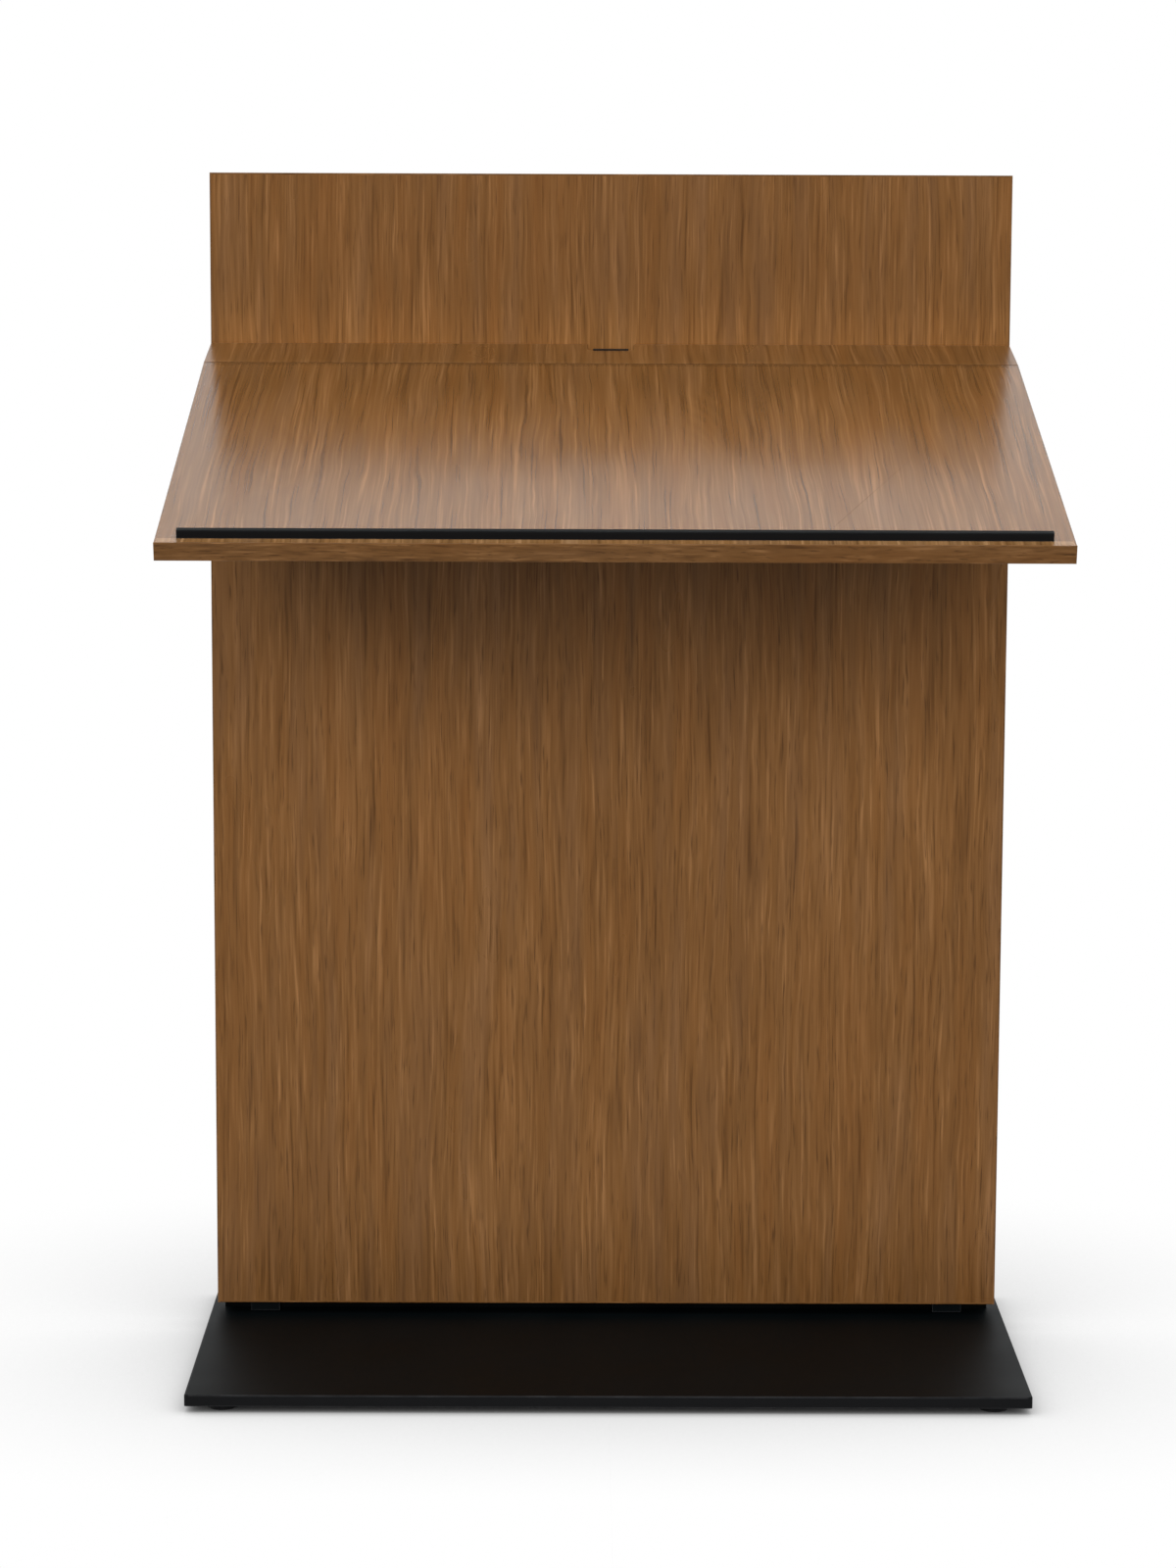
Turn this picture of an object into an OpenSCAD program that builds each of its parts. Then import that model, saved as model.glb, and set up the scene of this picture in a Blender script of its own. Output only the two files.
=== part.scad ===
// Lectern: two veneered boards on a steel plate carry a ledge and a sloping worksurface.
// Millimetres. +Z is up, +Y points to the audience, the speaker stands at -Y.
// The origin is on the floor, below the middle of the whole lectern.

/* [Overall] */
// Width of the boards across the lectern
board_w = 864; // [760:2:960]
// Height of the tall panel's top edge above the floor
lectern_h = 1274; // [1150:2:1400]

/* [Boards] */
// Thickness of the tall panel on the audience side
tall_t = 18; // [16:1:25]
// Thickness of the lower panel on the speaker's side
face_t = 12; // [10:1:18]
// Thickness of the worksurface and of the ledge
top_t = 18; // [16:1:25]
// Depth of the cavity between the two panels
cavity_d = 12; // [12:1:20]
// Thickness of the solid lippings on the boards' edges
lipping_t = 2; // [1.5:0.5:4]
// Radius on the lippings' long arrises
lipping_r = 0.8; // [0.4:0.1:1.2]
// Thickness of the glue line where a board meets a sloping one
glue_line = 0.05; // [0.03:0.01:0.2]

/* [Top] */
// Height of the tall panel above the ledge
upstand_h = 182; // [120:1:260]
// Depth of the ledge, measured level from the tall panel to the seam
ledge_d = 90; // [80:1:120]
// Slope of the ledge in degrees
ledge_slope = 11; // [6:0.5:13]
// Slope of the worksurface in degrees
work_slope = 15.3; // [14:0.1:20]
// Length of the worksurface along its slope
work_l = 558; // [500:1:640]
// Open width of the seam between ledge and worksurface
seam_gap = 0.6; // [0.4:0.1:1.2]
// Chamfer on the seam's upper arrises
seam_chamfer = 0.6; // [0.3:0.1:1]

/* [Cable slot] */
// Width of the slot in the ledge's back edge
slot_w = 50; // [40:1:80]
// Depth of the slot, measured level from the tall panel
slot_d = 28; // [26:1:40]
// Radius of the slot's two front corners
slot_r = 6; // [3:0.5:10]
// Height of the matching notch in the lower panel, below its top edge
slot_drop = 40; // [30:1:60]
// Width of the cable chase inside the column
chase_w = 60; // [50:1:90]
// Thickness of the edge strip on the slot's front edge
strip_t = 1.2; // [0.8:0.1:2]
// Width of the strip's leg that lies on the ledge
strip_leg = 2.5; // [1.5:0.1:5]
// Depth of the strip's leg inside the slot
strip_drop = 8; // [4:0.5:12]

/* [Stop bar] */
// Distance from the worksurface's side edge to the stop bar's end
bar_end = 20.5; // [10:0.5:120]
// Depth of the stop bar along the slope
bar_d = 8; // [5:0.5:10]
// Height of the stop bar
bar_h = 8; // [6:0.5:12]
// Distance from the worksurface's front arris to the stop bar
bar_setback = 12.5; // [8:0.5:30]
// Number of screws that hold the stop bar
bar_screw_n = 5; // [3:1:7]

/* [Base plate] */
// Width of the base plate
plate_w = 880; // [780:2:1000]
// Depth of the base plate
plate_d = 460; // [420:2:600]
// Thickness of the base plate
plate_t = 12; // [11:1:16]
// Reach of the plate in front of the lower panel
plate_front = 316; // [260:1:340]
// Radius of the plate's corners
plate_corner_r = 3; // [2.5:0.5:12]
// Radius on the plate's upper arris
plate_arris_r = 1; // [0.5:0.1:2]
// Gap between the plate and the boards
foot_gap = 12; // [8:1:25]
// Depth of the plinth strip that closes the gap under the tall panel
plinth_d = 12; // [8:1:14]
// Distance from the boards' side edges to the plinth strip's ends
plinth_end = 6; // [4:1:80]
// Number of screws up through the plinth strip
plinth_screw_n = 6; // [4:1:8]

/* [Glides] */
// Height of a glide under the plate
glide_h = 7; // [6:0.5:12]
// Diameter of a glide's pad at the floor
glide_dia = 28; // [24:1:40]
// Diameter of a glide's stem
glide_stem_dia = 8; // [6:1:10]
// Depth of a stem's threaded hole in the plate
glide_hole_depth = 9; // [8:0.5:10]
// Distance from the plate's side edge to a glide's axis
glide_inset_x = 38; // [30:1:80]
// Distance from the plate's front or back edge to a glide's axis
glide_inset_y = 24; // [22:1:80]

/* [Uprights and brackets] */
// Width of a steel upright
upright_w = 32; // [30:1:44]
// Distance from the boards' side edge to an upright's middle
upright_inset = 52; // [52:1:120]
// Clearance between an upright's top and the ledge
upright_top_gap = 10; // [6:1:30]
// Thickness of the brackets' steel
bracket_t = 5; // [4:1:8]
// Width of the brackets' flanges
bracket_w = 45; // [40:1:60]
// Reach of a bracket under the worksurface, along the slope from the seam
bracket_reach = 410; // [320:5:450]
// Height of a bracket's flange on the lower panel
bracket_h = 165; // [150:1:185]
// Depth of a bracket's web at its front tip
bracket_tip = 16; // [12:1:30]
// Radius of the hollow curve along a web's lower edge
bracket_curve_r = 900; // [750:10:1500]

/* [Battens and cleat] */
// Width of the side battens
batten_w = 28; // [20:1:30]
// Set-back of the side battens behind the boards' edges
batten_setback = 3; // [0:0.5:6]
// Width of the battens beside the cable chase
chase_batten_w = 25; // [20:1:40]
// Height of the rails between the battens
rail_h = 45; // [40:1:80]
// Depth of the cleat under the ledge
cleat_d = 25; // [20:1:34]
// Height of the cleat at the lower panel
cleat_h = 38; // [30:1:60]

/* [Fasteners] */
// Shank diameter of the wood screws
wood_screw_dia = 4; // [3.5:0.5:5]
// Shank diameter of the bracket bolts
bolt_dia = 8; // [6:1:8]
// Shank diameter of the bolts through the base plate
foot_bolt_dia = 6; // [5:1:6]
// Shank diameter of the stop bar's screws
bar_screw_dia = 3; // [2.5:0.5:3]
// Diameter of the dowels across the seam
dowel_dia = 8; // [6:1:10]
// Length of the dowels
dowel_l = 40; // [30:1:50]
// Number of dowels across the seam
dowel_n = 6; // [4:1:8]
// Radial clearance round every fastener's shank
shank_gap = 0.1; // [0.05:0.01:0.2]
// Radial running clearance round a glide's stem
stem_gap = 0.05; // [0.02:0.01:0.1]

/* [Hidden] */
$fn = 48;

veneer = [0.44, 0.30, 0.18];
lipping_colour = [0.40, 0.27, 0.16];
softwood = [0.76, 0.62, 0.44];
beech = [0.80, 0.64, 0.46];
black_steel = [0.07, 0.07, 0.075];
zinc = [0.68, 0.68, 0.70];
nylon = [0.12, 0.12, 0.13];
past = 1;
tip_gap = 1;
wood_left = 4;

// Heights
plate_z = glide_h;
plate_top = plate_z + plate_t;
column_z = plate_top + foot_gap;
ledge_back_z = lectern_h - upstand_h;
seam_z = ledge_back_z - ledge_d * tan(ledge_slope);

// Depths: everything hangs on the lower panel's face
front_reach = ledge_d - face_t - cavity_d + work_l * cos(work_slope);
back_reach = plate_d - plate_front;
face_y = (front_reach - back_reach) / 2;
cavity_y = face_y + face_t;
tall_y = cavity_y + cavity_d;
back_y = tall_y + tall_t;
seam_y = tall_y - ledge_d;
plate_front_y = face_y - plate_front;
plate_back_y = plate_front_y + plate_d;
plate_mid_y = (plate_front_y + plate_back_y) / 2;

// The seam is mitred: its saw cut halves the angle between the two boards
mitre_slope = (work_slope + ledge_slope) / 2;
mitre_half = (work_slope - ledge_slope) / 2;
mitre_l = top_t / cos(mitre_half);
seam_under_y = seam_y + mitre_l * sin(mitre_slope);
seam_under_z = seam_z - mitre_l * cos(mitre_slope);
work_front_y = seam_y - work_l * cos(work_slope);
work_front_z = seam_z - work_l * sin(work_slope);
ledge_drop = top_t / cos(ledge_slope);

half_w = board_w / 2;
core_half = half_w - lipping_t;
upright_x = half_w - upright_inset;
screw_l = cavity_d + tall_t - wood_left;

// Height of the ledge's upper surface and of its underside at a given depth
function ledge_top(y) = ledge_back_z - (tall_y - y) * tan(ledge_slope);
function ledge_under(y) = ledge_top(y) - ledge_drop;
// Evenly spaced places from low to high
function spread(low, high, n) = [for (i = [0 : n - 1]) low + (high - low) * i / (n - 1)];

// Steel parts
upright_y = cavity_y + cavity_d / 2;
upright_top = ledge_under(cavity_y) - upright_top_gap;
upright_screw_n = 5;
upright_screw_zs = spread(column_z + 2 * rail_h, upright_top - 2 * bracket_h, upright_screw_n);
foot_thread = 25;
foot_head = 2 * foot_bolt_dia;
plinth_y = tall_y + tall_t / 2;
plinth_half = half_w - plinth_end;
plinth_screw_inset = 48;
plinth_grip = 18;
plinth_screw_l = plate_t + foot_gap + plinth_grip;
bracket_x = upright_x - bracket_w + upright_w / 2 + bracket_t;
bracket_z = ledge_under(face_y) - bracket_h;
bracket_bolt_n = 3;
bracket_bolt_zs = spread(bracket_z + bolt_dia * 2, bracket_z + bracket_h - bolt_dia * 5, bracket_bolt_n);
bolt_l = bracket_t + face_t + cavity_d - tip_gap;
work_screw_n = 5;
top_screw_l = bracket_t + top_t - wood_left;
ledge_screw_share = 0.6;
ledge_screw_y = (ledge_d - face_t - cavity_d) * ledge_screw_share;

// Glides
glide_x = plate_w / 2 - glide_inset_x;
glide_front_y = plate_front_y + glide_inset_y;
glide_back_y = plate_back_y - glide_inset_y;
glide_hex_t = 2;
glide_pad_h = glide_h - glide_hex_t;
glide_disc_t = 2;
glide_disc_r = glide_stem_dia;
glide_hex_r = 0.94 * glide_stem_dia;
glide_rim = 1.2;
glide_taper = 2;
glide_end_gap = 0.5;
glide_stem_top = plate_z + glide_hole_depth - glide_end_gap;

// Battens, rails and cleat
batten_z = column_z + batten_setback;
side_batten_x = half_w - batten_setback;
rail_x0 = chase_w / 2 + chase_batten_w;
rail_x1 = upright_x - upright_w / 2;
top_rail_z = ledge_under(cavity_y) - rail_h;
batten_screw_n = 4;
batten_screw_zs = spread(batten_z + 2 * rail_h, top_rail_z - rail_h, batten_screw_n);
cleat_z = ledge_under(face_y) - cleat_h;
cleat_gap = 15;
cleat_half = bracket_x - cleat_gap;
cleat_screw_l = cleat_d + face_t + cavity_d - tip_gap;
cleat_up_l = cleat_h + top_t / 3;

// Small fasteners
wood_head = 2 * wood_screw_dia;
button_head = 1.75;
button_rise = 0.55;
socket_share = 0.33;
bar_head = 2 * bar_screw_dia;
bar_cap = 1.5;
bar_screw_l = top_t + bar_h - bar_cap;
bar_screw_inset = 25;
bar_l = board_w - 2 * bar_end;
bar_arris_r = 0.8;
dowel_inset = 70;

// Extrudes a profile drawn as depth and height across the lectern, centred
module across(length) {
    rotate([90, 0, 90]) linear_extrude(length, center = true) children();
}

// Local frame of a sloping board: origin on the seam, y up the slope, z off the surface
module on_slope(slope) {
    translate([0, seam_y, seam_z]) rotate([slope, 0, 0]) children();
}

// Turns an up-pointing fastener so that it points towards the audience
module inwards() {
    rotate([-90, 0, 0]) children();
}

// Both sides of the lectern
module each_side() {
    for (side = [0, 1]) mirror([side, 0, 0]) children();
}

// Strip section, w wide: the outer face is at x = 0 with both arrises rounded
module lipping_section(w) {
    translate([-lipping_t, 0]) square([lipping_t - lipping_r, w]);
    translate([-lipping_t, lipping_r]) square([lipping_t, w - 2 * lipping_r]);
    for (v = [lipping_r, w - lipping_r]) translate([-lipping_r, v]) circle(lipping_r);
}

// Profile of the column between two depths, from height z0 up to the glue line under the ledge
module column_profile(y0, y1, z0) {
    polygon([[y0, z0], [y1, z0], [y1, ledge_under(y1) - glue_line], [y0, ledge_under(y0) - glue_line]]);
}

// Profiles of the two sloping boards, which meet at the mitred seam
module ledge_profile() {
    polygon([[seam_y, seam_z], [tall_y, ledge_back_z], [tall_y, ledge_back_z - ledge_drop],
        [seam_under_y, seam_under_z]]);
}
module work_profile() {
    polygon([[work_front_y, work_front_z], [seam_y, seam_z], [seam_under_y, seam_under_z],
        [work_front_y + top_t * sin(work_slope), work_front_z - top_t * cos(work_slope)]]);
}

// Saw cut of the seam with its two small chamfers, drawn as depth and height
module seam_cut() {
    translate([seam_y, seam_z]) rotate(mitre_slope) {
        translate([-seam_gap / 2, -mitre_l - past]) square([seam_gap, mitre_l + 2 * past]);
        rotate(45) square((seam_gap + 2 * seam_chamfer) / sqrt(2), center = true);
    }
}

// Countersunk fastener along +z: its flat head is at z = 0 and its point at z = l
module sunk_screw(dia, l, head_dia, gap = 0) {
    sunk_h = (head_dia - dia) / 2;
    cylinder(h = sunk_h, r1 = head_dia / 2 + gap, r2 = dia / 2 + gap);
    cylinder(h = l, r = dia / 2 + gap);
}

// Button head fastener along +z: the head lies below z = 0, with a hexagon socket
module button_screw(dia, l) {
    head_d = button_head * dia;
    head_t = button_rise * dia;
    cylinder(h = l, r = dia / 2);
    difference() {
        intersection() {
            translate([0, 0, -head_t]) cylinder(h = head_t, r = head_d / 2);
            translate([0, 0, head_d - head_t]) sphere(head_d);
        }
        translate([0, 0, -head_t - past]) cylinder(h = head_t / 2 + past, r = dia * socket_share, $fn = 6);
    }
}

// Base

module plate_plan(inset) {
    r = plate_corner_r - inset;
    w = plate_w / 2 - inset;
    square([2 * w, plate_d - 2 * plate_corner_r], center = true);
    square([plate_w - 2 * plate_corner_r, plate_d - 2 * inset], center = true);
    for (u = [-1, 1], v = [-1, 1])
        translate([u * (plate_w / 2 - plate_corner_r), v * (plate_d / 2 - plate_corner_r)]) circle(r);
}

// Rounded upper arris: a rod along each side and a ring at each corner
module plate_arris() {
    side_x = plate_w / 2 - plate_arris_r;
    side_y = plate_d / 2 - plate_arris_r;
    for (v = [-1, 1]) translate([0, v * side_y, 0]) rotate([0, 90, 0])
        cylinder(h = plate_w - 2 * plate_corner_r, r = plate_arris_r, center = true);
    for (u = [-1, 1]) translate([u * side_x, 0, 0]) rotate([90, 0, 0])
        cylinder(h = plate_d - 2 * plate_corner_r, r = plate_arris_r, center = true);
    for (u = [-1, 1], v = [-1, 1])
        translate([u * (plate_w / 2 - plate_corner_r), v * (plate_d / 2 - plate_corner_r), 0])
            rotate_extrude() translate([plate_corner_r - plate_arris_r, 0]) circle(plate_arris_r);
}

module glide_places() {
    for (v = [glide_front_y, glide_back_y]) each_side() translate([glide_x, v, 0]) children();
}

module foot_bolt_places() {
    each_side() for (u = [-1, 1])
        translate([upright_x + u * upright_w / 4, upright_y, 0]) children();
}

module base_plate() {
    color(black_steel) difference() {
        translate([0, plate_mid_y, plate_z]) {
            linear_extrude(plate_t - plate_arris_r) plate_plan(0);
            linear_extrude(plate_t) plate_plan(plate_arris_r);
            translate([0, 0, plate_t - plate_arris_r]) plate_arris();
        }
        glide_places() translate([0, 0, plate_z - past])
            cylinder(h = glide_hole_depth + past, r = glide_stem_dia / 2 + stem_gap);
        foot_bolt_places() translate([0, 0, plate_z])
            sunk_screw(foot_bolt_dia, plate_t + past, foot_head, shank_gap);
        plinth_screw_places() sunk_screw(wood_screw_dia, plate_t + past, wood_head, shank_gap);
    }
}

// Glide: a threaded stem with a hexagon and a disc, which sits in a nylon pad
module glide_stem(u, v) {
    color(zinc) translate([u * glide_x, v, 0]) {
        translate([0, 0, glide_pad_h - glide_disc_t]) cylinder(h = glide_disc_t, r = glide_disc_r);
        translate([0, 0, glide_pad_h]) cylinder(h = plate_z - glide_pad_h, r = glide_hex_r, $fn = 6);
        translate([0, 0, glide_pad_h]) cylinder(h = glide_stem_top - glide_pad_h, r = glide_stem_dia / 2);
    }
}
module glide_pad(u, v) {
    color(nylon) translate([u * glide_x, v, 0]) difference() {
        union() {
            cylinder(h = glide_rim, r = glide_dia / 2);
            translate([0, 0, glide_rim])
                cylinder(h = glide_pad_h - glide_rim, r1 = glide_dia / 2, r2 = glide_dia / 2 - glide_taper);
        }
        translate([0, 0, glide_pad_h - glide_disc_t])
            cylinder(h = glide_disc_t + past, r = glide_disc_r + shank_gap);
    }
}
module glide_stem_front_left() { glide_stem(-1, glide_front_y); }
module glide_stem_front_right() { glide_stem(1, glide_front_y); }
module glide_stem_back_left() { glide_stem(-1, glide_back_y); }
module glide_stem_back_right() { glide_stem(1, glide_back_y); }
module glide_pad_front_left() { glide_pad(-1, glide_front_y); }
module glide_pad_front_right() { glide_pad(1, glide_front_y); }
module glide_pad_back_left() { glide_pad(-1, glide_back_y); }
module glide_pad_back_right() { glide_pad(1, glide_back_y); }

// Uprights

module upright() {
    color(black_steel) difference() {
        translate([upright_x - upright_w / 2, cavity_y, plate_top])
            cube([upright_w, cavity_d, upright_top - plate_top]);
        foot_bolt_places() translate([0, 0, plate_top - past])
            cylinder(h = foot_thread + past, r = foot_bolt_dia / 2 + shank_gap);
        upright_screw_places() sunk_screw(wood_screw_dia, screw_l, wood_head, shank_gap);
        bracket_bolt_places() cylinder(h = 2 * bolt_l, r = bolt_dia / 2 + shank_gap, center = true);
    }
}
module upright_right() { upright(); }
module upright_left() { mirror([1, 0, 0]) upright(); }

module upright_screw_places() {
    each_side() for (z = upright_screw_zs) translate([upright_x, cavity_y, z]) inwards() children();
}

module foot_bolts() {
    color(zinc) foot_bolt_places() translate([0, 0, plate_z]) difference() {
        sunk_screw(foot_bolt_dia, plate_t + foot_thread - tip_gap, foot_head);
        translate([0, 0, -past]) cylinder(h = past + foot_bolt_dia / 3, r = foot_bolt_dia / 3, $fn = 6);
    }
}

module upright_screws() {
    color(zinc) upright_screw_places() sunk_screw(wood_screw_dia, screw_l - tip_gap, wood_head);
}

// Plinth strip: it stands on the plate and carries the tall panel's bottom edge

module plinth_strip() {
    color(black_steel) difference() {
        translate([-plinth_half, plinth_y - plinth_d / 2, plate_top])
            cube([2 * plinth_half, plinth_d, foot_gap]);
        plinth_screw_places() cylinder(h = plinth_screw_l, r = wood_screw_dia / 2 + shank_gap);
    }
}
module plinth_screw_places() {
    for (x = spread(-plinth_half + plinth_screw_inset, plinth_half - plinth_screw_inset, plinth_screw_n))
        translate([x, plinth_y, plate_z]) children();
}
module plinth_screws() {
    color(zinc) plinth_screw_places() sunk_screw(wood_screw_dia, plinth_screw_l - tip_gap, wood_head);
}

// Tall panel

module tall_panel() {
    color(veneer) difference() {
        across(2 * core_half)
            translate([tall_y, column_z + lipping_t]) square([tall_t, lectern_h - column_z - 2 * lipping_t]);
        upright_screw_places() cylinder(h = screw_l, r = wood_screw_dia / 2 + shank_gap);
        batten_screw_places() cylinder(h = screw_l, r = wood_screw_dia / 2 + shank_gap);
        plinth_screw_places() cylinder(h = plinth_screw_l, r = wood_screw_dia / 2 + shank_gap);
    }
}
module tall_lipping() {
    color(lipping_colour) translate([half_w, tall_y, column_z])
        linear_extrude(lectern_h - column_z) lipping_section(tall_t);
}
module tall_lipping_right() { tall_lipping(); }
module tall_lipping_left() { mirror([1, 0, 0]) tall_lipping(); }
module tall_lipping_top() {
    color(lipping_colour) across(2 * core_half)
        translate([back_y, lectern_h]) rotate(90) lipping_section(tall_t);
}
module tall_lipping_bottom() {
    color(lipping_colour) difference() {
        across(2 * core_half) translate([tall_y, column_z]) rotate(-90) lipping_section(tall_t);
        plinth_screw_places() cylinder(h = plinth_screw_l, r = wood_screw_dia / 2 + shank_gap);
    }
}

// Lower panel

module lower_panel() {
    color(veneer) difference() {
        across(2 * core_half) column_profile(face_y, cavity_y, column_z + lipping_t);
        translate([-slot_w / 2, face_y - past, ledge_under(face_y) - slot_drop])
            cube([slot_w, face_t + 2 * past, slot_drop + top_t]);
        bracket_bolt_places() cylinder(h = 2 * bolt_l, r = bolt_dia / 2 + shank_gap, center = true);
        cleat_wall_places() cylinder(h = cleat_screw_l, r = wood_screw_dia / 2 + shank_gap);
    }
}
module lower_lipping() {
    color(lipping_colour) intersection() {
        translate([half_w, face_y, column_z]) linear_extrude(ledge_back_z - column_z) lipping_section(face_t);
        across(board_w + past) column_profile(face_y - past, cavity_y + past, column_z - past);
    }
}
module lower_lipping_right() { lower_lipping(); }
module lower_lipping_left() { mirror([1, 0, 0]) lower_lipping(); }
module lower_lipping_bottom() {
    color(lipping_colour) across(2 * core_half)
        translate([face_y, column_z]) rotate(-90) lipping_section(face_t);
}

// Battens and rails inside the column, between the two panels

module batten(x0, x1) {
    color(softwood) difference() {
        translate([(x0 + x1) / 2, 0, 0]) across(x1 - x0) column_profile(cavity_y, tall_y, batten_z);
        batten_screw_places() sunk_screw(wood_screw_dia, screw_l, wood_head, shank_gap);
    }
}
module side_batten_right() { batten(side_batten_x - batten_w, side_batten_x); }
module side_batten_left() { mirror([1, 0, 0]) batten(side_batten_x - batten_w, side_batten_x); }
module chase_batten_right() { batten(chase_w / 2, rail_x0); }
module chase_batten_left() { mirror([1, 0, 0]) batten(chase_w / 2, rail_x0); }

module bottom_rail() {
    color(softwood) difference() {
        translate([rail_x0, cavity_y, batten_z]) cube([rail_x1 - rail_x0, cavity_d, rail_h]);
        batten_screw_places() sunk_screw(wood_screw_dia, screw_l, wood_head, shank_gap);
    }
}
module bottom_rail_right() { bottom_rail(); }
module bottom_rail_left() { mirror([1, 0, 0]) bottom_rail(); }

module top_rail() {
    color(softwood) difference() {
        translate([(rail_x0 + rail_x1) / 2, 0, 0]) across(rail_x1 - rail_x0)
            column_profile(cavity_y, tall_y, top_rail_z);
        batten_screw_places() sunk_screw(wood_screw_dia, screw_l, wood_head, shank_gap);
        cleat_wall_places() cylinder(h = cleat_screw_l, r = wood_screw_dia / 2 + shank_gap);
    }
}
module top_rail_right() { top_rail(); }
module top_rail_left() { mirror([1, 0, 0]) top_rail(); }

module batten_screw_places() {
    each_side() {
        for (x = [side_batten_x - batten_w / 2, (chase_w / 2 + rail_x0) / 2], z = batten_screw_zs)
            translate([x, cavity_y, z]) inwards() children();
        for (x = spread(rail_x0 + rail_h, rail_x1 - rail_h, 2))
            for (z = [batten_z + rail_h / 2, top_rail_z + rail_h / 3])
                translate([x, cavity_y, z]) inwards() children();
    }
}
module batten_screws() {
    color(zinc) batten_screw_places() sunk_screw(wood_screw_dia, screw_l - tip_gap, wood_head);
}

// Ledge

module ledge() {
    color(veneer) difference() {
        across(2 * core_half) difference() {
            ledge_profile();
            seam_cut();
        }
        translate([0, tall_y, ledge_back_z - ledge_drop - slot_d])
            linear_extrude(slot_d + 2 * top_t) slot_plan();
        dowel_places() cylinder(h = dowel_l + tip_gap, r = dowel_dia / 2 + shank_gap, center = true);
        ledge_screw_places() cylinder(h = top_screw_l, r = wood_screw_dia / 2 + shank_gap);
        cleat_ledge_places() cylinder(h = cleat_up_l, r = wood_screw_dia / 2 + shank_gap);
    }
}
// Slot in plan, open towards the tall panel, with two rounded front corners
module slot_plan() {
    translate([-slot_w / 2, -slot_d + slot_r]) square([slot_w, slot_d - slot_r + past]);
    translate([-slot_w / 2 + slot_r, -slot_d]) square([slot_w - 2 * slot_r, slot_d]);
    for (u = [-1, 1]) translate([u * (slot_w / 2 - slot_r), -slot_d + slot_r]) circle(slot_r);
}
// Strip on the slot's front edge, between the two rounded corners
module slot_edge_strip() {
    wall_y = tall_y - slot_d + glue_line;
    tip_y = wall_y - strip_leg;
    back = wall_y + strip_t;
    low = ledge_top(wall_y) - strip_drop;
    color(nylon) across(slot_w - 2 * slot_r) translate([0, glue_line])
        polygon([[tip_y, ledge_top(tip_y)], [wall_y, ledge_top(wall_y)], [wall_y, low], [back, low],
            [back, ledge_top(back) + strip_t], [tip_y, ledge_top(tip_y) + strip_t]]);
}
module ledge_lipping() {
    color(lipping_colour) intersection() {
        on_slope(ledge_slope) translate([half_w, ledge_d * 2, -top_t])
            rotate([90, 0, 0]) linear_extrude(ledge_d * 3) lipping_section(top_t);
        across(board_w + past) difference() {
            ledge_profile();
            seam_cut();
        }
    }
}
module ledge_lipping_right() { ledge_lipping(); }
module ledge_lipping_left() { mirror([1, 0, 0]) ledge_lipping(); }

// Worksurface

module worksurface() {
    color(veneer) difference() {
        across(2 * core_half) difference() {
            work_profile();
            seam_cut();
            translate([work_front_y, work_front_z]) rotate(work_slope)
                translate([-past, -2 * top_t]) square([lipping_t + glue_line + past, 3 * top_t]);
        }
        dowel_places() cylinder(h = dowel_l + tip_gap, r = dowel_dia / 2 + shank_gap, center = true);
        work_screw_places() cylinder(h = top_screw_l, r = wood_screw_dia / 2 + shank_gap);
        bar_screw_places() sunk_screw(bar_screw_dia, top_t + past, bar_head, shank_gap);
    }
}
module work_lipping_front() {
    color(lipping_colour) on_slope(work_slope) across(board_w)
        translate([-work_l, -top_t]) mirror([1, 0]) lipping_section(top_t);
}
module work_lipping() {
    color(lipping_colour) intersection() {
        on_slope(work_slope) translate([half_w, top_t, -top_t])
            rotate([90, 0, 0]) linear_extrude(work_l + top_t - lipping_t) lipping_section(top_t);
        across(board_w + past) difference() {
            work_profile();
            seam_cut();
        }
    }
}
module work_lipping_right() { work_lipping(); }
module work_lipping_left() { mirror([1, 0, 0]) work_lipping(); }

// Dowels lie square to the mitre, halfway down the boards
module dowel_places() {
    for (x = spread(-half_w + dowel_inset, half_w - dowel_inset, dowel_n))
        translate([x, seam_y, seam_z]) rotate([mitre_slope, 0, 0])
            translate([0, 0, -mitre_l / 2]) rotate([90, 0, 0]) children();
}
module seam_dowels() {
    color(beech) dowel_places() cylinder(h = dowel_l, r = dowel_dia / 2, center = true);
}

// Brackets

// Flange under a sloping board, from y0 to y1 up the slope
module bracket_flange(slope, y0, y1) {
    on_slope(slope) translate([bracket_x, y0, -top_t - bracket_t]) cube([bracket_w, y1 - y0, bracket_t]);
}
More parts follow.
